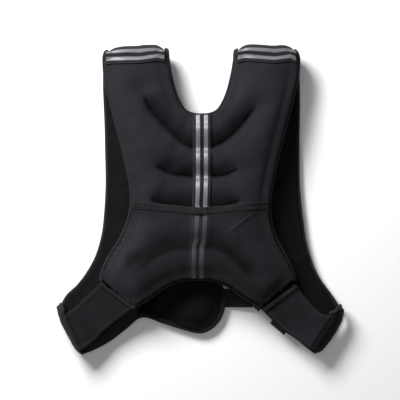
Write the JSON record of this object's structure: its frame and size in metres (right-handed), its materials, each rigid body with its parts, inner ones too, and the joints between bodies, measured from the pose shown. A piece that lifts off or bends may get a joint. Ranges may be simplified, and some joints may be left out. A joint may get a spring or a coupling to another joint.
{
  "type": "weighted vest",
  "caption": "Sand-filled neoprene weighted vest lying on its front, with a mesh back pocket, reflective stripes, woven side bands and a buckled waist strap.",
  "frame": {"origin": "middle of the underside, in the plane that the front panels lie on", "axes": "+X to the wearer's right, across the back, +Y up along the spine to the shoulders, +Z out of the back, up from the floor"},
  "size_m": [0.4498, 0.4924, 0.0651],
  "materials": {
    "neoprene": "matte knit-faced neoprene, very dark grey",
    "binding": "matte woven binding",
    "woven_band": "ribbed elastic weave, matte",
    "webbing": "ribbed webbing, matte",
    "reflective_stripe": "silver-grey reflective, fine lengthwise lines",
    "mesh": "open knitted mesh, matte",
    "buckle": "matte moulded plastic"
  },
  "bodies": {
    "root": {"back_panel": "neoprene", "neck_binding": "binding", "hem_binding": "binding", "spine_tape": "webbing", "pocket_hem": "binding", "pocket_net": "mesh", "front_panel_left": "neoprene", "back_binding_left": "binding", "front_outer_binding_left": "binding", "front_inner_binding_left": "binding", "shoulder_tape_left": "webbing", "spine_stripe_left": "reflective_stripe", "shoulder_stripe_upper_left": "reflective_stripe", "shoulder_stripe_lower_left": "reflective_stripe", "side_band_left": "woven_band", "band_hem_left": "woven_band", "front_panel_right": "neoprene", "back_binding_right": "binding", "front_outer_binding_right": "binding", "front_inner_binding_right": "binding", "shoulder_tape_right": "webbing", "spine_stripe_right": "reflective_stripe", "shoulder_stripe_upper_right": "reflective_stripe", "shoulder_stripe_lower_right": "reflective_stripe", "side_band_right": "woven_band", "band_hem_right": "woven_band", "waist_strap": "webbing", "waist_buckle": "buckle", "strap_tail": "webbing"}
  },
  "joints": []
}
